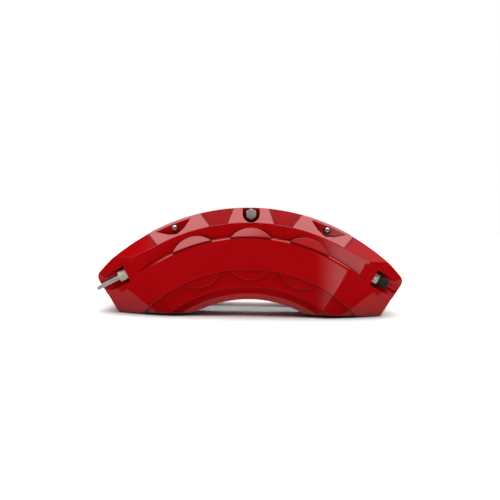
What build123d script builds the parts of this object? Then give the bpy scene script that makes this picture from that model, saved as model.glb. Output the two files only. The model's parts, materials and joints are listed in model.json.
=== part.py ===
from build123d import *
import os
from math import cos, radians, sin, sqrt, tan

# Two-piece, six-piston fixed brake caliper, millimetres.
# X runs along the caliper, Y across the disc (outboard side at -Y), Z up, away from the disc's axis.
# The shapes are drawn about the disc's mid plane (y = 0) and moved at export, so that the origin is midway
# between the two mounting holes, on the mounting face (z = 0).

# Disc and body
AXLE_Z = -112.0  # the disc's axis, below the mounting face
TUNNEL_R = 196.0  # body clearance over the disc's edge
TUNNEL_HALF = 19.0  # body clearance beside the disc
FACE = 78.0  # mid plane to the front of the raised band
ARCH_R = 127.3
LEDGE_R = 134.5
LOWER_R = 142.0
BAND_IN_R = 162.0
BAND_OUT_R = 198.0
LAND_R = 212.6
CREST_R = 229.6
REAR_CREST_R = 226.5
FOOT_X = 149.0  # half length at the feet
FOOT_DROP_X, FOOT_DROP = 95.0, 3.5  # outboard feet fall this much from here to their tips
END_LEAN = 57.0  # degrees from horizontal of the end faces
END_CORNER_R = 9.0
HEEL_R = 4.0
LOWER_DEPTH = 4.0
BOSS_DEPTH = 2.0
STRIP_DEPTH = 6.0
LEDGE_DEPTH = 10.0
CREST_DEPTH = 21.0
RECESS_FOOT, RECESS_TOP = 12.5, 21.5  # depths of the trapezoid recesses at LAND_R and CREST_R
RECESS_FOOT_ANGLES, RECESS_TOP_ANGLES = (7.0, 12.1), (4.2, 15.1)
DOME_R = 207.5  # where the sloped top of each piston boss meets the strip
LAND_EDGE_R = 1.5
BAND_EDGE_R = 4.5

# Receding end faces and the fluid fittings, laid out along a line that points outward and down
FIT_ANGLE = 28.0
FOLD_U = 74.5
FOLD_SLOPE = 0.45
FOLD_R = 30.0
STRIP_FOLD_R = 18.0
SHOULDER, SHOULDER_TOP = 28.7, 29.9  # degrees from vertical of the land's end, at LAND_R and CREST_R
SHOULDER_OVERLAP = 0.5  # degrees that the land's slope is cut beyond its shoulder
FACET_DEPTH = 7.0  # of the upper end facet at the land's lower end corner
FACET_SLOPE_X, FACET_SLOPE_Z = 0.46, 1.0
SHOULDER_LEAN = 0.6  # outward run of the shoulder's wall per depth
SOLE_AT = (134.5, 23.8)  # a point of the sole facet's upper edge
SOLE_TILT = 36.9
SOLE_SLOPE = 0.2
LIP_RISE = 1.5  # of the lip round the pocket, in front of the sole facet
LIP_U, LIP_V, LIP_R = 115.0, 24.0, 40.0  # the lip's round edge, V from the fittings' line
FIT_V = 101.8
FIT_WALL_U = 101.0
FIT_DEPTH = 20.0
POCKET_R = 9.5
FIT_HOLE_R = 5.0
FIT_HOLE_L = 15.0
DRILL_R = 2.0
CHANNEL_L = 120.0  # longer than what is left of the body beyond the pocket's wall

# Pistons
PISTON_R = 18.95
BORE_R = 19.0
BOSS_R = 28.5
BOSS_RING_R = 178.5
PISTON_ANGLES = {"leading": -19.0, "middle": 0.0, "trailing": 19.0}
PISTON_NOSE = 35.0
PISTON_L = 30.0
PISTON_HOLLOW_R, PISTON_HOLLOW_L = 14.0, 24.0
INBOARD_BOSS_DEPTH = 2.0
BORE_END = 70.0
GALLERY_Y = 67.5
SEAL_Y, SEAL_W, SEAL_R = 52.0, 3.6, 22.0
WIPER_Y, WIPER_W, WIPER_R = 41.0, 3.0, 21.5

# Pads
CAVITY_X = 86.0
CAVITY_Y = 37.0
WINDOW_ANGLE = 28.0
WINDOW_Y = 40.0
LINING_Y0, PLATE_Y0, SHIM_Y0 = 16.3, 28.5, 34.0
LINING_IN_R, LINING_OUT_R, LINING_HALF_X, LINING_Z0 = 137.0, 187.0, 80.0, 12.0
SLOT_W, SLOT_DEPTH = 2.5, 7.0
PLATE_IN_R, PLATE_OUT_R, PLATE_HALF_X, PLATE_Z0 = 134.0, 192.0, 84.7, 7.0
EAR_R, EAR_TOP_R, EAR_HOLE_R = 8.5, 225.0, 3.3
EAR_WEB = [(62.0, 60.0), (84.7, 55.0)]  # where the ears leave the plate
ABUT_T, ABUT_W, ABUT_L, ABUT_Z = 1.0, 9.0, 44.0, 32.0
SPRING_T, SPRING_HALF, SPRING_FOOT_X = 0.8, 33.0, 29.0

# Pad pins, tie bolt, body bolts
PIN_R, PIN_HOLE_R = 3.0, 3.15
PIN_X, PIN_Z = 84.4, 93.8
PIN_FRONT, PIN_BACK = 65.0, 66.0
PIN_LUG_R = 6.5
PIN_SINK_R, PIN_SINK_L = 3.9, 3.0
SCOOP_DEPTH = 18.6
SCOOP = [(63, 112), (73.5, 94), (81, 87), (91, 86), (107, 89), (125, 97), (125, 130), (63, 130)]
CLIP_R, CLIP_W, CLIP_Y = 5.2, 1.0, 62.6
TIE_Z = 110.2
TIE_R, TIE_HOLE_R = 3.5, 3.6
TIE_SEAT, TIE_END = 54.0, 61.0
TIE_HEAD = 7.0
TIE_FLATS, TIE_EDGE = 11.0, 1.5
SPACER_R = 5.2
COUNTERBORE_Z, COUNTERBORE_R = 110.3, 9.3
BODY_BOLTS = [(32.8, 213.0), (39.5, 218.0)]  # degrees from vertical, radius
BOLT_R, BOLT_HOLE_R, BOLT_HEAD_R, BOLT_HEAD_L = 3.95, 4.5, 6.5, 8.0
BOLT_SEAT = 50.0
BOLT_REACH, BOLT_END_GAP = 36.0, 3.0
BOLT_SINK_R = 7.0
THREAD_PLAY = 0.05
BOLT_KEY_FLATS, BOLT_KEY_L = 6.0, 4.0

# Mounting lugs and fluid inlet
MOUNT_Y = 84.0
MOUNT_X = 105.0
MOUNT_HOLE_R = 6.25
LUG_H = 28.0
LUG_HALF = 13.0
LUG_ROOT_Y = 55.0
INLET_X, INLET_Z = 29.5, 62.0
INLET_FACE = 82.0
INLET_BOSS_R, INLET_HOLE_R, INLET_HOLE_L = 9.0, 5.0, 12.0
REAR_WALL = 60.0  # mid plane to the inboard face of the crest wall

# Crossover pipe and fittings
PIPE_R, PIPE_BORE_R = 2.375, 1.6
PIPE_CORNER_U = 139.4
PIPE_BEND = 8.0
FIT_FLATS = 11.0
THREAD_R = 4.95
NUT_L, NUT_BORE_R = 10.0, 2.45
BLEED_HEX_L = 6.0
NIPPLE_R, NIPPLE_NECK_R, NIPPLE_L = 3.3, 2.5, 17.0
BLEED_BORE_R, BLEED_CROSS_R, BLEED_CROSS_AT = 1.2, 1.0, 9.0
CAP_R, CAP_HOLE_R, CAP_L, CAP_END_R = 5.8, 3.4, 12.5, 3.6

Y_AXIS = Vector(0, 1, 0)
U = Vector(cos(radians(FIT_ANGLE)), 0, -sin(radians(FIT_ANGLE)))
V = Vector(sin(radians(FIT_ANGLE)), 0, cos(radians(FIT_ANGLE)))


# ---------------------------------------------------------------- helpers
def polar(radius, angle):
    """X and Z of a point at a radius from the disc's axis, at an angle from vertical."""
    return (radius * sin(radians(angle)), AXLE_Z + radius * cos(radians(angle)))


def slab(sketch, y0, y1):
    """A shape drawn in X and Z, made solid between two Y planes."""
    return extrude(Plane.XZ.offset(-y0) * sketch, amount=-(y1 - y0))


def disc(radius):
    return Pos(0, AXLE_Z) * Circle(radius)


def ring(inner, outer):
    return disc(outer) - disc(inner)


def sector(inner, outer, start, end):
    """Part of a ring between two angles from vertical."""
    far = 2 * outer
    wedge = Polygon((0, AXLE_Z), polar(far, start), polar(far, end), align=None)
    return ring(inner, outer) & wedge


def lathe(points, edge_r=0.0):
    """A solid of revolution about the disc's axis, from points of radius and Y; the second can be rounded."""
    plane = Plane(origin=(0, 0, AXLE_Z), x_dir=(1, 0, 0), z_dir=(0, 0, 1))
    profile = Polygon(*points, align=None)
    if edge_r:
        corner = Vector(*points[1])
        profile = fillet(profile.vertices().sort_by_distance(corner)[0], edge_r)
    return revolve(plane * profile, Axis((0, 0, AXLE_Z), (0, 1, 0)))


def rod(start, end, radius):
    """A round bar between two points in space."""
    start, end = Vector(*start), Vector(*end)
    along = end - start
    return extrude(Plane(origin=start, z_dir=along) * Circle(radius), amount=along.length)


def both(shape):
    """A shape and its mirror image across the caliper's middle."""
    return shape + mirror(shape, about=Plane.YZ)


def fitting_point(u, v_offset=0.0, y=-(FACE - FIT_DEPTH)):
    """A point on the outboard fitting's line at the +X end, u along it and v_offset above it."""
    p = U * u + V * (FIT_V + v_offset)
    return Vector(p.X, y, p.Z)


def hexagon(flats, point, along, length, corner):
    """A hexagonal bar from a point along a direction, with a corner towards the given direction."""
    plane = Plane(origin=point, x_dir=corner, z_dir=along)
    return extrude(plane * RegularPolygon(flats / sqrt(3), 6), amount=length)


# ---------------------------------------------------------------- body halves
def outline(crest, drop=0.0):
    """The caliper's outline in X and Z: crest arc, leaning ends, feet and the arch between them."""
    rise, high = 60.0, 200.0
    reach = FOOT_X + rise / tan(radians(END_LEAN))
    right = [(FOOT_DROP_X, 0), (FOOT_X, -drop), (reach, rise), (reach, high)]
    left = [(-x, z) for x, z in reversed(right)]
    shape = ring(ARCH_R, crest) & Polygon(*right, *left, align=None)
    ends = shape.vertices().filter_by(lambda p: p.Y > 10).group_by(Axis.Y)[0]
    shape = fillet(ends, END_CORNER_R)
    heels = shape.vertices().filter_by(lambda p: p.Y < 1 and abs(p.X) > FOOT_X - 5)
    return fillet(heels, HEEL_R)


def fold_cut(depth, start=FOLD_U, radius=FOLD_R):
    """What lies in front of the end face that recedes along the fittings' line from a start."""
    plane = Plane(origin=(0, -FACE + depth, 0), x_dir=U, z_dir=U.cross(Y_AXIS))
    near, far, front = -150.0, 240.0, -60.0
    drop = (far - start) * FOLD_SLOPE
    corners = [(near, 0), (start, 0), (far, drop), (far, front), (near, front)]
    face = make_face(plane * Polyline(*corners, close=True))
    at_fold = face.vertices().sort_by_distance(plane.from_local_coords(Vector(start, 0, 0)))[0]
    return extrude(fillet(at_fold, radius), amount=320, both=True)


def in_front_of(point, slope_x, slope_z):
    """A thick plate standing on a plane whose depth grows with X and Z at the given slopes."""
    plane = Plane(origin=point, z_dir=Vector(slope_x, -1, slope_z))
    return plane * Pos(0, 0, 60) * Box(500, 500, 120)


def fold_depth(x, z):
    u = x * U.X + z * U.Z
    return FOLD_SLOPE * (u - FOLD_U)


def facet_cut():
    """Upper end facet, leaning back, that starts at the slanted wall of the land's shoulder."""
    x, z = polar(LAND_R, SHOULDER)
    plate = in_front_of((x, -FACE + FACET_DEPTH, z), FACET_SLOPE_X, FACET_SLOPE_Z)
    foot = Vector(x, -FACE + STRIP_DEPTH, z)
    top_x, top_z = polar(CREST_R, SHOULDER_TOP)
    up_the_land = Vector(top_x, -FACE + CREST_DEPTH, top_z) - foot
    turn = radians(SHOULDER)
    down_the_wall = Vector(SHOULDER_LEAN * cos(turn), 1, -SHOULDER_LEAN * sin(turn))
    wall = Plane(origin=foot, x_dir=up_the_land, z_dir=down_the_wall.cross(up_the_land))
    beyond = wall * Pos(0, 0, 60) * Box(300, 300, 120)
    return plate & beyond & slab(ring(LAND_R, 260), -FACE - 20, -20)


def sole_cut(depth):
    """Lower end facet, leaning back and down, with the round lip of the fitting's pocket standing on it."""
    x, z = SOLE_AT
    tilt = radians(SOLE_TILT)
    point = (x, -FACE + depth + fold_depth(x, z), z)
    slope_x = FOLD_SLOPE * U.X + SOLE_SLOPE * sin(tilt)
    slope_z = FOLD_SLOPE * U.Z - SOLE_SLOPE * cos(tilt)
    lip = rod(fitting_point(LIP_U, LIP_V, -2 * FACE), fitting_point(LIP_U, LIP_V, 0), LIP_R)
    lip_face = (x, point[1] - LIP_RISE, z)
    return in_front_of(point, slope_x, slope_z) - lip + in_front_of(lip_face, slope_x, slope_z)


def pocket_cut():
    """Round-bottomed channel for a fitting, open to the front and to the end."""
    start, end = fitting_point(FIT_WALL_U), fitting_point(FIT_WALL_U + CHANNEL_L)
    channel = rod(start, end, POCKET_R)
    plane = Plane(origin=start, x_dir=U, z_dir=U.cross(Y_AXIS))
    return channel + plane * Pos(CHANNEL_L / 2, -30, 0) * Box(CHANNEL_L, 60, 2 * POCKET_R)


def land_cut():
    """What lies in front of the sloped lands along the crest."""
    run = (CREST_DEPTH - STRIP_DEPTH) / (CREST_R - LAND_R)
    over, front, foot = 30.0, -FACE - 10, -FACE + STRIP_DEPTH
    corners = [(LAND_R - 4, foot), (LAND_R, foot), (LAND_R + over, foot + over * run)]
    corners += [(LAND_R + over, front), (LAND_R - 4, front)]
    beside = SHOULDER_TOP + SHOULDER_OVERLAP
    between = slab(sector(LAND_R - 10, 300, -beside, beside), front, 0)
    return lathe(corners, LAND_EDGE_R) & between


def recess_cut():
    """Trapezoid recess between the centre land and the next one."""
    run = (RECESS_TOP - RECESS_FOOT) / (CREST_R - LAND_R)
    over, front = 5.0, -FACE - 10
    outer = CREST_R + over
    top = -FACE + RECESS_TOP + over * run
    steep = lathe([(LAND_R, -FACE + RECESS_FOOT), (outer, top), (outer, front), (LAND_R, front)])
    foot_in, foot_out = (polar(LAND_R - 1, a) for a in RECESS_FOOT_ANGLES)
    top_in, top_out = (polar(outer + 1, a) for a in RECESS_TOP_ANGLES)
    return steep & slab(Polygon(foot_in, foot_out, top_out, top_in, align=None), front, -40)


def scoop_cut():
    """Pocket that the domed end of a pad pin stands in, with a sink round the pin."""
    shape = Polygon(*SCOOP, align=None)
    floor = shape.vertices().sort_by(Axis.Y)[:4]
    bottom = -FACE + SCOOP_DEPTH
    sink = rod((PIN_X, bottom - 1, PIN_Z), (PIN_X, bottom + PIN_SINK_L, PIN_Z), PIN_SINK_R)
    return slab(fillet(floor, 4.0), -FACE - 10, bottom) + sink


def boss(depth, back):
    """The three round piston bosses, from a depth behind the face to a Y plane."""
    spots = [Pos(*polar(BOSS_RING_R, a)) * Circle(BOSS_R) for a in PISTON_ANGLES.values()]
    return sum((slab(s, -FACE + depth, back) for s in spots[1:]), slab(spots[0], -FACE + depth, back))


def boss_tops():
    """Sloped upper parts of the piston bosses, between the band and the strip."""
    slope = lathe(
        [
            (BAND_OUT_R - 1, -FACE),
            (BAND_OUT_R, -FACE),
            (DOME_R, -FACE + STRIP_DEPTH),
            (DOME_R, -FACE + STRIP_DEPTH + 4),
            (BAND_OUT_R - 1, -FACE + STRIP_DEPTH + 4),
        ]
    )
    return slope & boss(0, -FACE + STRIP_DEPTH + 4)


def band():
    """The raised band round the front, with a rounded outer edge."""
    back = -FACE + LEDGE_DEPTH
    corners = [(BAND_IN_R, -FACE), (BAND_OUT_R, -FACE), (BAND_OUT_R, back), (BAND_IN_R, back)]
    return lathe(corners, BAND_EDGE_R)


def below(depth, radius):
    """Fold and sole cuts for everything inside a radius."""
    inside = slab(disc(radius), -FACE - 50, 0)
    return both((fold_cut(depth) + sole_cut(depth)) & inside)


def beyond_band(cut):
    return both(cut & slab(ring(BAND_IN_R, 300), -FACE - 50, 0))


def outboard_front():
    """Outboard casting as far as its mid-plane joint, before the bores and windows."""
    shape, ledge = outline(CREST_R, FOOT_DROP), -FACE + LEDGE_DEPTH
    core = slab(shape & ring(ARCH_R - 1, TUNNEL_R), ledge, 0)
    core += slab(shape & ring(TUNNEL_R, CREST_R + 1), -FACE + STRIP_DEPTH, 0)
    core += slab(shape & ring(LOWER_R, BAND_OUT_R), -FACE + LOWER_DEPTH, ledge)
    half = core + (band() & slab(shape, -FACE, ledge))
    chamfer_run = LEDGE_R - ARCH_R
    low, front = ARCH_R - 2, -FACE - 5
    half -= lathe([(LEDGE_R, ledge), (low, ledge + chamfer_run + 2), (low, front), (LEDGE_R, front)])
    half -= land_cut()
    half -= below(LOWER_DEPTH, BAND_IN_R)
    half -= beyond_band(fold_cut(0))
    half -= beyond_band(sole_cut(0))
    strip_start = FOLD_U + STRIP_DEPTH / FOLD_SLOPE
    strip = fold_cut(STRIP_DEPTH, strip_start, STRIP_FOLD_R) & slab(ring(BAND_OUT_R, LAND_R), -FACE - 50, 0)
    half -= both(strip)
    half += boss(BOSS_DEPTH, ledge) & slab(ring(LOWER_R, BAND_OUT_R), -FACE, ledge)
    half += boss_tops()
    for cut in (facet_cut(), recess_cut(), scoop_cut()):
        half -= both(cut)
    slot = Pos(0, COUNTERBORE_Z) * Circle(COUNTERBORE_R)
    slot += Pos(0, COUNTERBORE_Z + 20) * Rectangle(2 * COUNTERBORE_R, 40)
    half -= slab(slot, -FACE - 10, -TIE_SEAT)
    return half


def lug(x):
    """Mounting lug with a round end, as high as LUG_H."""
    reach = MOUNT_Y - LUG_ROOT_Y
    top = Rectangle(2 * LUG_HALF, 2 * reach) + Pos(0, -reach) * Circle(LUG_HALF)
    return Pos(x, -LUG_ROOT_Y, 0) * extrude(top, amount=LUG_H)


def inboard_front():
    """Inboard casting, drawn on the outboard side and mirrored later: plain face, round bosses, lugs."""
    body = slab(outline(REAR_CREST_R), -FACE + LEDGE_DEPTH, 0)
    body -= below(LEDGE_DEPTH / 2, 300)
    half = body + boss(INBOARD_BOSS_DEPTH, -FACE + LEDGE_DEPTH + 1)
    half -= slab(sector(BAND_OUT_R + 8, 300, -WINDOW_ANGLE, WINDOW_ANGLE), -FACE - 10, -REAR_WALL)
    half += rod((INLET_X, -INLET_FACE, INLET_Z), (INLET_X, -REAR_WALL, INLET_Z), INLET_BOSS_R)
    for x in (-MOUNT_X, MOUNT_X):
        half += lug(x)
        half -= rod((x, -MOUNT_Y, LUG_H), (x, -MOUNT_Y, 3 * LUG_H), LUG_HALF)
    return half


def cavity():
    """Everything that the disc, the pads and the fluid need open in one half."""
    space = slab(disc(TUNNEL_R), -TUNNEL_HALF, 1)
    space += Pos(0, -CAVITY_Y / 2, 0) * Box(2 * CAVITY_X, CAVITY_Y, 600)
    space += slab(sector(TUNNEL_R - 10, 300, -WINDOW_ANGLE, WINDOW_ANGLE), -WINDOW_Y, 1)
    centres = [polar(BOSS_RING_R, a) for a in PISTON_ANGLES.values()]
    for x, z in centres:
        space += rod((x, -BORE_END, z), (x, -CAVITY_Y + 1, z), BORE_R)
        space += rod((x, -SEAL_Y - SEAL_W / 2, z), (x, -SEAL_Y + SEAL_W / 2, z), SEAL_R)
        space += rod((x, -WIPER_Y - WIPER_W / 2, z), (x, -WIPER_Y + WIPER_W / 2, z), WIPER_R)
    (x0, z0), (x1, z1), (x2, z2) = centres
    space += rod((x0, -GALLERY_Y, z0), (x1, -GALLERY_Y, z1), DRILL_R)
    space += rod((x1, -GALLERY_Y, z1), (x2, -GALLERY_Y, z2), DRILL_R)
    bottom = FIT_WALL_U - FIT_HOLE_L
    socket = rod(fitting_point(bottom), fitting_point(FIT_WALL_U + 1), FIT_HOLE_R)
    deep = fitting_point(bottom - 4)
    drill = rod(deep, fitting_point(bottom + 1), DRILL_R) + rod((x2, -GALLERY_Y, z2), tuple(deep), DRILL_R)
    space += both(socket + drill)
    for x in (-PIN_X, PIN_X):
        space += rod((x, -FACE, PIN_Z), (x, 1, PIN_Z), PIN_HOLE_R)
    space += rod((0, -FACE, TIE_Z), (0, 1, TIE_Z), TIE_HOLE_R)
    return space


def bolt_places():
    """X and Z of the four body bolts."""
    return [polar(r, s * a) for s in (-1, 1) for a, r in BODY_BOLTS]


def outboard_half():
    half = outboard_front() - cavity()
    over = CREST_R + 9
    half -= lathe([(CREST_R, -WINDOW_Y), (REAR_CREST_R, 0), (over, 0), (over, -WINDOW_Y)])
    half -= both(pocket_cut())
    for x, z in bolt_places():
        half -= rod((x, -BOLT_REACH - BOLT_END_GAP, z), (x, 1, z), BOLT_R + THREAD_PLAY)
    return half


def inboard_half():
    half = inboard_front()
    for x in (-PIN_X, PIN_X):
        half += rod((x, -REAR_WALL, PIN_Z), (x, -WINDOW_Y, PIN_Z), PIN_LUG_R)
    half = half - cavity() - both(pocket_cut())
    for x, z in bolt_places():
        half -= rod((x, -FACE, z), (x, 1, z), BOLT_HOLE_R)
        half -= rod((x, -FACE - 5, z), (x, -BOLT_SEAT, z), BOLT_SINK_R)
    bottom = (INLET_X, INLET_HOLE_L - INLET_FACE, INLET_Z)
    half -= rod((INLET_X, -INLET_FACE - 1, INLET_Z), bottom, INLET_HOLE_R)
    half -= rod((INLET_X, bottom[1] - 1, INLET_Z), (INLET_X, -GALLERY_Y, INLET_Z), DRILL_R)
    for x in (-MOUNT_X, MOUNT_X):
        half -= rod((x, -MOUNT_Y, -1), (x, -MOUNT_Y, LUG_H + 1), MOUNT_HOLE_R)
    return mirror(half, about=Plane.XZ)


# ---------------------------------------------------------------- pistons and seals
def tube(x, z, y0, y1, outer, inner):
    """A ring or tube along Y."""
    return rod((x, y0, z), (x, y1, z), outer) - rod((x, y0 - 1, z), (x, y1 + 1, z), inner)


def piston(angle):
    """Cup piston, open towards the pad, with a chamfered skirt and a groove behind its nose."""
    x, z = polar(BOSS_RING_R, angle)
    body = rod((x, -PISTON_NOSE - PISTON_L, z), (x, -PISTON_NOSE, z), PISTON_R)
    body = chamfer(body.edges().filter_by(GeomType.CIRCLE), 0.8)
    body -= rod((x, -PISTON_NOSE - PISTON_HOLLOW_L, z), (x, -PISTON_NOSE + 1, z), PISTON_HOLLOW_R)
    return body - tube(x, z, -PISTON_NOSE - 3.2, -PISTON_NOSE - 1.6, PISTON_R + 1, PISTON_R - 1.0)


def rings(middle, width, outer):
    """Three rings round the pistons of one half, a little smaller than their grooves."""
    play = 0.1
    solids = []
    for angle in PISTON_ANGLES.values():
        x, z = polar(BOSS_RING_R, angle)
        half = width / 2 - play
        solids.append(tube(x, z, -middle - half, -middle + half, outer - play, BORE_R))
    return Compound(solids)


# ---------------------------------------------------------------- brake pads
def ears():
    """Outline of the two lugs that hang a pad's backing plate on its pins."""
    web = Polygon(*EAR_WEB, (PIN_X + EAR_R, PIN_Z), (PIN_X - EAR_R, PIN_Z), align=None)
    return both(Pos(PIN_X, PIN_Z) * Circle(EAR_R) + web) & disc(EAR_TOP_R)


def above(height):
    return Pos(0, height + 150) * Rectangle(400, 300)


def backing_plate():
    shape = ring(PLATE_IN_R, PLATE_OUT_R) & (Pos(0, 50) * Rectangle(2 * PLATE_HALF_X, 300)) & above(PLATE_Z0)
    shape += ears()
    for x in (-PIN_X, PIN_X):
        shape -= Pos(x, PIN_Z) * Circle(EAR_HOLE_R)
    return slab(shape, -SHIM_Y0, -PLATE_Y0)


def lining():
    """Friction block with a wiping slot down its middle and chamfered leading and trailing edges."""
    shape = ring(LINING_IN_R, LINING_OUT_R) & (Pos(0, 50) * Rectangle(2 * LINING_HALF_X, 300))
    shape &= above(LINING_Z0)
    block = slab(shape, -PLATE_Y0, -LINING_Y0)
    block -= Pos(0, -LINING_Y0, 50) * Box(SLOT_W, 2 * SLOT_DEPTH, 300)
    edge = Pos(LINING_HALF_X, -LINING_Y0, 50) * Rot(0, 0, 45) * Box(8, 8, 300)
    return block - both(edge)


def shim():
    shape = ring(PLATE_IN_R + 4, PLATE_OUT_R - 3) & (Pos(0, 50) * Rectangle(2 * PLATE_HALF_X - 8, 300))
    return slab(shape & above(PLATE_Z0 + 3), -PISTON_NOSE, -SHIM_Y0)


def abutments():
    """Four wear strips on the ends of the pad cavities."""
    strip = Pos(CAVITY_X - ABUT_T / 2, PLATE_Y0 + 3.0, ABUT_Z) * Box(ABUT_T, ABUT_W, ABUT_L)
    pair = both(strip)
    return Compound((pair + inboard(pair)).solids())


def pad_spring():
    """Bent strip that presses both backing plates inwards, held down under the tie bolt's spacer."""
    top = TIE_Z - SPACER_R - SPRING_T / 2 - 0.2
    foot = AXLE_Z + sqrt(PLATE_OUT_R**2 - (SPRING_FOOT_X - 4) ** 2) + SPRING_T / 2 + 0.25
    right = [(13, top), (SPRING_FOOT_X - 4, foot), (SPRING_FOOT_X + 4, foot), (SPRING_FOOT_X + 9, foot + 5)]
    left = [(-x, z) for x, z in reversed(right)]
    path = FilletPolyline(*left, *right, radius=3.0)
    strip = slab(trace(path, line_width=SPRING_T), -SPRING_HALF, SPRING_HALF)
    slot = Pos(SPRING_FOOT_X - 8, 0, (top + foot) / 2) * Box(12, 40, 40)
    return strip - both(slot)


# ---------------------------------------------------------------- pins and bolts
def pad_pin(x):
    """Pad pin with a domed front end and a circlip groove at the back."""
    dome = -PIN_FRONT + PIN_R
    pin = rod((x, dome, PIN_Z), (x, PIN_BACK, PIN_Z), PIN_R) + Pos(x, dome, PIN_Z) * Sphere(PIN_R)
    return pin - tube(x, PIN_Z, CLIP_Y - CLIP_W / 2 - 0.1, CLIP_Y + CLIP_W / 2 + 0.1, PIN_R + 1, PIN_R - 0.6)


def circlips():
    """Open spring rings in the grooves of the two pad pins."""
    clips = []
    for x in (-PIN_X, PIN_X):
        clip = tube(x, PIN_Z, CLIP_Y - CLIP_W / 2, CLIP_Y + CLIP_W / 2, CLIP_R, PIN_R - 0.6)
        clips.append(clip - Pos(x, CLIP_Y, PIN_Z + 4) * Box(3.6, 3, 8))
    return Compound(clips)


def tie_bolt():
    """Hexagon bolt across the window, its head chamfered like a turned bar end."""
    front = -TIE_SEAT - TIE_HEAD
    head = hexagon(TIE_FLATS, Vector(0, front, TIE_Z), Y_AXIS, TIE_HEAD, Vector(0, 0, 1))
    turned = rod((0, front, TIE_Z), (0, -TIE_SEAT, TIE_Z), TIE_FLATS / sqrt(3))
    rim = turned.edges().filter_by(GeomType.CIRCLE).sort_by(Axis.Y)[0]
    head &= chamfer(rim, length=TIE_EDGE, length2=0.75 * TIE_EDGE)
    return head + rod((0, -TIE_SEAT, TIE_Z), (0, TIE_END, TIE_Z), TIE_R)


def body_bolts():
    bolts = []
    for x, z in bolt_places():
        bolt = rod((x, -BOLT_REACH, z), (x, BOLT_SEAT, z), BOLT_R)
        bolt += rod((x, BOLT_SEAT, z), (x, BOLT_SEAT + BOLT_HEAD_L, z), BOLT_HEAD_R)
        key_at = Vector(x, BOLT_SEAT + BOLT_HEAD_L - BOLT_KEY_L, z)
        key = hexagon(BOLT_KEY_FLATS, key_at, Y_AXIS, BOLT_KEY_L + 1, Vector(1, 0, 0))
        bolts.append(bolt - key)
    return Compound(bolts)


# ---------------------------------------------------------------- pipe and fittings
def left_point(u, y):
    """A point on the fitting's line at the -X end, at a given Y."""
    p = fitting_point(u, y=y)
    return Vector(-p.X, p.Y, p.Z)


def crossover_pipe():
    """Steel pipe from the outboard to the inboard half, round the outside of the disc."""
    y = FACE - FIT_DEPTH
    start = FIT_WALL_U - FIT_HOLE_L + 3.0
    points = [left_point(start, -y), left_point(PIPE_CORNER_U, -y), left_point(PIPE_CORNER_U, y)]
    points.append(left_point(start, y))
    path = FilletPolyline(*points, radius=PIPE_BEND)
    section = Plane(origin=points[0], z_dir=points[1] - points[0]) * (Circle(PIPE_R) - Circle(PIPE_BORE_R))
    return sweep(section, path=path)


def flare_nut():
    """Outboard flare nut: hexagon against the pocket's wall, thread in the body, bored for the pipe."""
    y = -(FACE - FIT_DEPTH)
    wall, tip = left_point(FIT_WALL_U, y), left_point(FIT_WALL_U + NUT_L, y)
    inner = left_point(FIT_WALL_U - FIT_HOLE_L + 2.0, y)
    along = (tip - wall).normalized()
    nut = hexagon(FIT_FLATS, wall, along, NUT_L, -Y_AXIS)
    turned = rod(wall, tip, FIT_FLATS / sqrt(3))
    rims = turned.edges().filter_by(GeomType.CIRCLE)
    nut &= chamfer(rims, length=0.5)
    nut += rod(inner, wall, THREAD_R)
    return nut - rod(inner - along, tip + along, NUT_BORE_R)


def bleed_screw():
    """Outboard bleed screw: cone seat, thread, hexagon and a barbed nipple, drilled through."""
    gap = 0.1
    seat = fitting_point(FIT_WALL_U - FIT_HOLE_L + 1.5)
    base = fitting_point(FIT_WALL_U + gap)
    top = fitting_point(FIT_WALL_U + gap + BLEED_HEX_L)
    end = fitting_point(FIT_WALL_U + gap + NIPPLE_L)
    thread = rod(seat, base, THREAD_R)
    foot = thread.edges().filter_by(GeomType.CIRCLE).sort_by_distance(seat)[0]
    thread = chamfer(foot, length=2.5)
    screw = thread + hexagon(FIT_FLATS, base, U, BLEED_HEX_L, -Y_AXIS)
    screw += rod(top, end - U * 3, NIPPLE_NECK_R) + rod(end - U * 4, end, NIPPLE_R)
    tip = screw.faces().sort_by_distance(end + U)[0].edges()
    screw = chamfer(tip, length=1.0)
    cross_at = fitting_point(FIT_WALL_U - BLEED_CROSS_AT)
    bore = rod(cross_at, end + U, BLEED_BORE_R)
    cross = rod(cross_at - V * 8, cross_at + V * 8, BLEED_CROSS_R)
    return screw - bore - cross


def bleed_cap():
    """Rubber cap over the outboard bleed nipple, with a rounded closed end."""
    start = fitting_point(FIT_WALL_U + 0.2 + BLEED_HEX_L)
    end = start + U * CAP_L
    cap = rod(start, end, CAP_R)
    rim = cap.edges().filter_by(GeomType.CIRCLE).sort_by_distance(end)[0]
    cap = fillet(rim, CAP_END_R)
    return cap - rod(start - U, end - U * 1.0, CAP_HOLE_R)


# ---------------------------------------------------------------- export
def inboard(shape):
    """The inboard counterpart of an outboard piece."""
    return mirror(shape, about=Plane.XZ)


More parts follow.
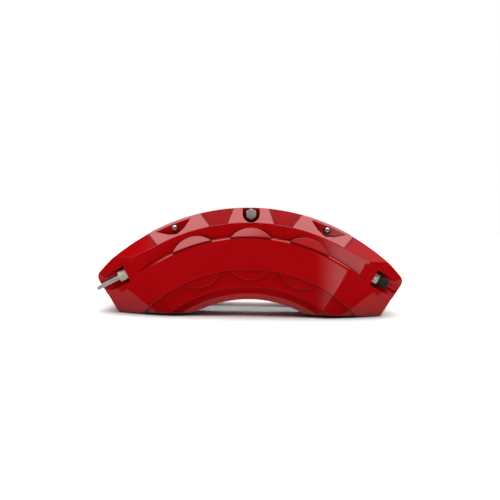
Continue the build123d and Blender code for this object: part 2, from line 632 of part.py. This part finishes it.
def pieces():
    """Every node's name and shape."""
    yield "outboard_half", outboard_half()
    yield "inboard_half", inboard_half()
    pairs = {
        "piston_seals": rings(SEAL_Y, SEAL_W, SEAL_R),
        "dust_wipers": rings(WIPER_Y, WIPER_W, WIPER_R),
        "pad_plate": backing_plate(),
        "pad_lining": lining(),
        "pad_shim": shim(),
        "flare_nut": flare_nut(),
        "bleed_screw": bleed_screw(),
        "bleed_cap": bleed_cap(),
    }
    for place, angle in PISTON_ANGLES.items():
        pairs[f"piston_{place}"] = piston(angle)
    for name, shape in pairs.items():
        yield f"{name}_outboard", shape
        yield f"{name}_inboard", inboard(shape)
    yield "pad_abutments", abutments()
    yield "pad_spring", pad_spring()
    yield "pad_pin_leading", pad_pin(-PIN_X)
    yield "pad_pin_trailing", pad_pin(PIN_X)
    yield "pin_circlips", circlips()
    yield "tie_bolt", tie_bolt()
    yield "tie_spacer", tube(0, TIE_Z, -WINDOW_Y, WINDOW_Y, SPACER_R, TIE_R + 0.2)
    yield "body_bolts", body_bolts()
    yield "crossover_pipe", crossover_pipe()


os.makedirs("parts", exist_ok=True)
for name, shape in pieces():
    export_step(Pos(0, -MOUNT_Y, 0) * shape, f"parts/{name}.step")
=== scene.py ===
import bpy
import json
import math
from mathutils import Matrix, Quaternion, Vector


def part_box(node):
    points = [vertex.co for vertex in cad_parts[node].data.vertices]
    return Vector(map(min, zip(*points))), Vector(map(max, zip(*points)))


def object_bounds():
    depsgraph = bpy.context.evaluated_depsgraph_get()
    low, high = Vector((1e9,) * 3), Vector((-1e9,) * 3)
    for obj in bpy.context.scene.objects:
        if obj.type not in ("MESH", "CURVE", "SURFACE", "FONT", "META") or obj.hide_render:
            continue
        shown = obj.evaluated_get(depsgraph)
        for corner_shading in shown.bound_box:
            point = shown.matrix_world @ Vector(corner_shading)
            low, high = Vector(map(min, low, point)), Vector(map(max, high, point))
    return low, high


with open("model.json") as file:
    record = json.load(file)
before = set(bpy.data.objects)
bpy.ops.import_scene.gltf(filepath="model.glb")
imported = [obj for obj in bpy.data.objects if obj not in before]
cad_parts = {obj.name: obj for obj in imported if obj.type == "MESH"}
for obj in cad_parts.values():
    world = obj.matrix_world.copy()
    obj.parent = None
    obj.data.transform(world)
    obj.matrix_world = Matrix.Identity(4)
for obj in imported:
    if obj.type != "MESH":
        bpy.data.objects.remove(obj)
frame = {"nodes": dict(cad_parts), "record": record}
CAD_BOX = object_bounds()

# Fixed six-piston brake caliper. Metres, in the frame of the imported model: +X along the caliper,
# +Y towards the vehicle, +Z up, z = 0 on the mounting face.

# ---------------------------------------------------------------- camera
FACE_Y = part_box("outboard_half")[0][1]
AIM = Vector((-0.0007, FACE_Y, 0.0711))
EYE_HEIGHT = 0.100
EYE_DISTANCE = 0.696
LENS = 46.2
ROLL = math.radians(0.9)

# ---------------------------------------------------------------- light
# The studio is a function of direction. The softbox overhead is bounded by slopes of the direction: across
# over up, and forward over up. The panel in front is bounded by sideways and by height over frontal.
TOP_LEFT, TOP_RIGHT, TOP_SOFT = -0.84, 0.90, 0.07
TOP_FRONT, TOP_FRONT_SLANT, TOP_FRONT_SOFT = -0.505, 0.13, 0.03
TOP_BACK, TOP_BACK_SOFT = -0.02, 0.04
LOW_FRONT = -0.74  # of the softbox's dimmer front edge
FILL_LEFT, FILL_SOFT = -0.64, 0.06
BACK_START, BACK_FULL = 0.35, 1.0
PANEL_SIDES, PANEL_HEIGHTS, PANEL_SOFT = (0.125, 0.27), (-0.16, 0.05), 0.02
PANEL_FRONTAL = -0.7  # the panel is in front of the object only
GROUND_START, GROUND_FULL = -0.44, -0.53
REAR_START, REAR_FULL = (0.2, -0.15), (0.7, 0.0)  # forward and up
EVEN_FRONT, EVEN_BACK, EVEN_SOFT, EVEN_DARK = -0.64, 0.60, 0.05, 0.02
TOP_STRENGTH, LOW_STRENGTH, FILL_STRENGTH, BACK_STRENGTH = 3.6, 0.35, 0.5, 1.2
PANEL_STRENGTH, GROUND_STRENGTH, REAR_STRENGTH, EVEN_STRENGTH = 1.6, 0.38, 0.6, 4.7
LEAST = 0.001  # keeps the slopes finite
FLOOR_HALF = 6.0


def make_camera():
    data = bpy.data.cameras.new("camera")
    data.lens = LENS
    data.sensor_width = 36.0
    data.clip_start = 0.01
    cam = bpy.data.objects.new("camera", data)
    bpy.context.scene.collection.objects.link(cam)
    cam.location = (AIM.x, AIM.y - EYE_DISTANCE, EYE_HEIGHT)
    cam.rotation_mode = "QUATERNION"
    look = (AIM - cam.location).to_track_quat("-Z", "Y")
    cam.rotation_quaternion = look @ Quaternion((0, 0, 1), ROLL)
    bpy.context.scene.camera = cam


# ---------------------------------------------------------------- node helpers
def add(tree, kind, values=None, **settings):
    """A node with its settings and input values; a value that is a socket is linked instead."""
    node = tree.nodes.new(kind)
    for key, value in settings.items():
        setattr(node, key, value)
    for key, value in (values or {}).items():
        if isinstance(value, bpy.types.NodeSocket):
            tree.links.new(value, node.inputs[key])
        else:
            node.inputs[key].default_value = value
    return node


def calc(tree, operation, *terms):
    """The result of one Math node."""
    return add(tree, "ShaderNodeMath", dict(enumerate(terms)), operation=operation).outputs[0]


def ramp(tree, value, start, end, low=0.0, high=1.0):
    """A smooth change from low to high as the value goes from start to end."""
    values = {"Value": value, "From Min": start, "From Max": end, "To Min": low, "To Max": high}
    return add(tree, "ShaderNodeMapRange", values, interpolation_type="SMOOTHSTEP").outputs["Result"]


def inside(tree, value, low, high, soft):
    """One between two limits and zero outside them, with soft edges."""
    rise = ramp(tree, value, low - soft, low + soft)
    fall = ramp(tree, value, high - soft, high + soft, 1.0, 0.0)
    return calc(tree, "MULTIPLY", rise, fall)


def blend(tree, factor, first, second):
    """A colour between two colours."""
    values = {"Factor": factor, "A": first, "B": second}
    return add(tree, "ShaderNodeMix", values, data_type="RGBA").outputs["Result"]


def grey(level):
    return (level, level, level, 1.0)


# ---------------------------------------------------------------- light and stage
def make_world():
    """Plain white studio light: a large softbox overhead, a panel in front, a pale ground and back."""
    world = bpy.data.worlds.new("studio")
    bpy.context.scene.world = world
    world.use_nodes = True
    tree = world.node_tree
    direction = add(tree, "ShaderNodeTexCoord").outputs["Generated"]
    x, y, z = add(tree, "ShaderNodeSeparateXYZ", {0: direction}).outputs
    above = calc(tree, "GREATER_THAN", z, 0.0)
    up = calc(tree, "MAXIMUM", z, LEAST)
    across, forward = calc(tree, "DIVIDE", x, up), calc(tree, "DIVIDE", y, up)
    slanted = calc(tree, "SUBTRACT", forward, calc(tree, "MULTIPLY", across, TOP_FRONT_SLANT))
    width = calc(tree, "MULTIPLY", above, inside(tree, across, TOP_LEFT, TOP_RIGHT, TOP_SOFT))
    started = ramp(tree, slanted, TOP_FRONT - TOP_FRONT_SOFT, TOP_FRONT + TOP_FRONT_SOFT)
    past = ramp(tree, forward, TOP_BACK - TOP_BACK_SOFT, TOP_BACK + TOP_BACK_SOFT)
    before = calc(tree, "SUBTRACT", 1.0, past)
    top = calc(tree, "MULTIPLY", calc(tree, "MULTIPLY", started, width), before)
    behind = calc(tree, "MULTIPLY", above, past)
    low = calc(tree, "MULTIPLY", width, inside(tree, slanted, LOW_FRONT, TOP_FRONT, TOP_FRONT_SOFT))
    fill = calc(tree, "MULTIPLY", behind, inside(tree, across, FILL_LEFT, TOP_RIGHT, FILL_SOFT))
    back = calc(tree, "MULTIPLY", behind, ramp(tree, forward, BACK_START, BACK_FULL))
    soft = calc(tree, "MULTIPLY", width, inside(tree, forward, EVEN_FRONT, EVEN_BACK, EVEN_SOFT))
    front = calc(tree, "MAXIMUM", calc(tree, "MULTIPLY", y, -1.0), LEAST)
    sideways = inside(tree, calc(tree, "DIVIDE", x, front), *PANEL_SIDES, PANEL_SOFT)
    height = inside(tree, calc(tree, "DIVIDE", z, front), *PANEL_HEIGHTS, PANEL_SOFT)
    in_front = calc(tree, "LESS_THAN", y, PANEL_FRONTAL)
    panel = calc(tree, "MULTIPLY", calc(tree, "MULTIPLY", sideways, height), in_front)
    ground = ramp(tree, z, GROUND_START, GROUND_FULL)
    rear_parts = [ramp(tree, v, a, b) for v, a, b in zip((y, z), REAR_START, REAR_FULL)]
    rear = calc(tree, "MULTIPLY", *rear_parts)
    boxes = [
        (top, TOP_STRENGTH),
        (low, LOW_STRENGTH),
        (fill, FILL_STRENGTH),
        (back, BACK_STRENGTH),
        (panel, PANEL_STRENGTH),
        (ground, GROUND_STRENGTH),
        (rear, REAR_STRENGTH),
    ]
    total = 0.0
    for mask, strength in boxes:
        total = calc(tree, "ADD", total, calc(tree, "MULTIPLY", mask, strength))
    path = add(tree, "ShaderNodeLightPath").outputs
    even = blend(tree, soft, grey(EVEN_DARK), grey(EVEN_STRENGTH))
    colour = blend(tree, path["Is Diffuse Ray"], total, even)
    colour = blend(tree, path["Is Camera Ray"], colour, grey(1.0))
    shader = tree.nodes["Background"]
    tree.links.new(colour, shader.inputs["Color"])


def make_floor():
    data = bpy.data.meshes.new("floor")
    s, low = FLOOR_HALF, CAD_BOX[0][2]
    data.from_pydata([(-s, -s, low), (s, -s, low), (s, s, low), (-s, s, low)], [], [(0, 1, 2, 3)])
    floor = bpy.data.objects.new("floor", data)
    bpy.context.scene.collection.objects.link(floor)
    floor.visible_glossy = False
    mat, tree, shader = new_material("pale_floor")
    where = add(tree, "ShaderNodeTexCoord").outputs["Object"]
    grain = add(tree, "ShaderNodeTexNoise", {"Vector": where, "Scale": 300.0, "Detail": 4.0}).outputs["Fac"]
    link(tree, shader, "Base Color", blend(tree, grain, grey(0.83), grey(0.87)))
    link(tree, shader, "Roughness", ramp(tree, grain, 0.0, 1.0, 0.6, 0.8))
    data.materials.append(mat)


# ---------------------------------------------------------------- materials
def new_material(name):
    mat = bpy.data.materials.new(name)
    mat.use_nodes = True
    return mat, mat.node_tree, mat.node_tree.nodes["Principled BSDF"]


def link(tree, shader, name, socket):
    tree.links.new(socket, shader.inputs[name])


def stretched(tree, scale, stretch, detail=3.0):
    """Noise in object space, finer along some axes than others."""
    where = add(tree, "ShaderNodeTexCoord").outputs["Object"]
    place = add(tree, "ShaderNodeMapping", {"Vector": where, "Scale": stretch}).outputs["Vector"]
    values = {"Vector": place, "Scale": scale, "Detail": detail, "Roughness": 0.6}
    return add(tree, "ShaderNodeTexNoise", values).outputs["Fac"]


def bumped(tree, height, strength, distance, radius=0.0004):
    """The normal of a surface with softened edges and a fine relief."""
    edge = add(tree, "ShaderNodeBevel", {"Radius": radius}, samples=6).outputs["Normal"]
    values = {"Strength": strength, "Distance": distance, "Height": height, "Normal": edge}
    return add(tree, "ShaderNodeBump", values).outputs["Normal"]


def ambient_occlusion(tree, distance):
    """Ambient occlusion: one on open surfaces, less in corners and grooves, where it is used to paint
    shade.
    """
    node = add(tree, "ShaderNodeAmbientOcclusion", {"Distance": distance}, samples=8)
    return node.outputs["AO"]


def red_paint():
    """Glossy red lacquer over a cast body: orange peel, with painted shade that darkens the colour and
    thins the coat in corners and grooves.
    """
    mat, tree, shader = new_material("red_paint")
    peel = stretched(tree, 380.0, (1, 1, 1), 2.0)
    cloud = stretched(tree, 45.0, (1, 1, 1))
    # Painted shade: ambient occlusion over 3 mm and 14 mm marks the corners, grooves and pockets that get
    # darker.
    corner_shading = ramp(tree, ambient_occlusion(tree, 0.003), 0.35, 0.9)
    pocket_shading = ramp(tree, ambient_occlusion(tree, 0.014), 0.0, 0.35)
    unshaded_part = calc(tree, "MULTIPLY", corner_shading, pocket_shading)
    red = blend(tree, cloud, (0.375, 0.0018, 0.0032, 1), (0.415, 0.0026, 0.0044, 1))
    # The near-black red is painted shade, blended in where the occlusion masks are low; the coat is thinned
    # there too.
    link(tree, shader, "Base Color", blend(tree, unshaded_part, (0.055, 0.0002, 0.0009, 1), red))
    link(tree, shader, "Roughness", ramp(tree, cloud, 0.2, 0.8, 0.32, 0.42))
    link(tree, shader, "Coat Weight", ramp(tree, unshaded_part, 0.0, 0.6, 0.25, 1.0))
    link(tree, shader, "Coat Roughness", ramp(tree, cloud, 0.3, 0.7, 0.02, 0.045))
    shader.inputs["Specular IOR Level"].default_value = 0.0
    relief = bumped(tree, peel, 0.05, 0.0002, 0.0009)
    link(tree, shader, "Normal", relief)
    link(tree, shader, "Coat Normal", relief)
    return mat


def metal(name, dark, light, rough, metallic, scale, stretch, relief):
    """Bare or plated metal with tooling marks along the short axes of the stretch."""
    mat, tree, shader = new_material(name)
    grain = stretched(tree, scale, stretch)
    blotch = stretched(tree, 160.0, (1, 1, 1), 5.0)
    mixed = calc(tree, "ADD", calc(tree, "MULTIPLY", grain, 0.5), calc(tree, "MULTIPLY", blotch, 0.5))
    tone = blend(tree, ramp(tree, mixed, 0.3, 0.7), (*dark, 1), (*light, 1))
    # Painted shade: ambient occlusion darkens the base colour to a third of the dark tone in corners and
    # grooves.
    unshaded_part = ramp(tree, ambient_occlusion(tree, 0.002), 0.2, 0.9)
    painted_corner_shade = tuple(c * 0.3 for c in dark)
    link(tree, shader, "Base Color", blend(tree, unshaded_part, (*painted_corner_shade, 1), tone))
    link(tree, shader, "Roughness", ramp(tree, mixed, 0.3, 0.7, rough - 0.06, rough + 0.08))
    shader.inputs["Metallic"].default_value = metallic
    link(tree, shader, "Normal", bumped(tree, grain, relief, 0.00005))
    return mat


def rubber(name, colour):
    """Matt rubber with a faint bloom and a fine skin."""
    mat, tree, shader = new_material(name)
    skin = stretched(tree, 1500.0, (1, 1, 1))
    bloom = stretched(tree, 110.0, (1, 1, 1), 5.0)
    pale = tuple(c * 2.2 + 0.004 for c in colour)
    link(tree, shader, "Base Color", blend(tree, ramp(tree, bloom, 0.4, 0.8), (*colour, 1), (*pale, 1)))
    link(tree, shader, "Roughness", ramp(tree, skin, 0.2, 0.8, 0.5, 0.75))
    link(tree, shader, "Normal", bumped(tree, skin, 0.3, 0.0001, 0.0006))
    return mat


def friction():
    """Pressed friction compound: dark matrix with pale and coppery grains and small pits."""
    mat, tree, shader = new_material("friction")
    where = add(tree, "ShaderNodeTexCoord").outputs["Object"]
    cell = add(tree, "ShaderNodeTexVoronoi", {"Vector": where, "Scale": 900.0})
    shade = add(tree, "ShaderNodeSeparateColor", {0: cell.outputs["Color"]}).outputs
    matrix = stretched(tree, 700.0, (1, 1, 1), 6.0)
    base = blend(tree, matrix, (0.03, 0.028, 0.026, 1), (0.12, 0.11, 0.10, 1))
    pale = blend(tree, ramp(tree, shade[0], 0.86, 0.9), base, (0.32, 0.30, 0.28, 1))
    coppery = ramp(tree, shade[1], 0.92, 0.95)
    link(tree, shader, "Base Color", blend(tree, coppery, pale, (0.36, 0.17, 0.07, 1)))
    shader.inputs["Roughness"].default_value = 0.85
    link(tree, shader, "Normal", bumped(tree, cell.outputs["Distance"], 0.5, 0.0003))
    return mat


bpy.context.scene.view_settings.view_transform = "Standard"
make_camera()
make_world()
make_floor()

EVEN, ALONG_X, ALONG_Y, TURNED = (1, 1, 1), (0.06, 1, 1), (1, 0.06, 1), (0.02, 1, 0.02)
# Name, dark and light tone, roughness, metallic, scale and stretch of the marks, and relief.
METALS = [
    ("pad_steel", (0.015, 0.015, 0.016), (0.045, 0.045, 0.048), 0.5, 0.3, 900.0, EVEN, 0.3),
    ("shim_steel", (0.25, 0.25, 0.25), (0.42, 0.42, 0.41), 0.42, 0.9, 700.0, ALONG_X, 0.15),
    ("zinc_steel", (0.72, 0.63, 0.52), (0.95, 0.88, 0.76), 0.30, 0.75, 500.0, EVEN, 0.15),
    ("piston_alloy", (0.30, 0.30, 0.31), (0.46, 0.46, 0.47), 0.38, 0.85, 3000.0, TURNED, 0.3),
    ("spring_steel", (0.42, 0.42, 0.42), (0.62, 0.62, 0.61), 0.28, 0.95, 800.0, ALONG_X, 0.15),
    ("polished_steel", (0.66, 0.66, 0.67), (0.88, 0.88, 0.89), 0.16, 0.9, 900.0, ALONG_Y, 0.05),
    ("bright_steel", (0.50, 0.50, 0.51), (0.72, 0.72, 0.73), 0.30, 0.6, 900.0, ALONG_Y, 0.15),
    ("black_steel", (0.02, 0.02, 0.022), (0.06, 0.06, 0.065), 0.4, 0.8, 900.0, EVEN, 0.15),
]
MATERIALS = {row[0]: metal(*row) for row in METALS}
MATERIALS["red_paint"] = red_paint()
MATERIALS["seal_rubber"] = rubber("seal_rubber", (0.009, 0.007, 0.008))
MATERIALS["friction"] = friction()
SLOTS = {row["node"]: row["material_slot"] for row in frame["record"]["subparts"]}
for name, obj in frame["nodes"].items():
    obj.data.materials.clear()
    obj.data.materials.append(MATERIALS[SLOTS[name]])
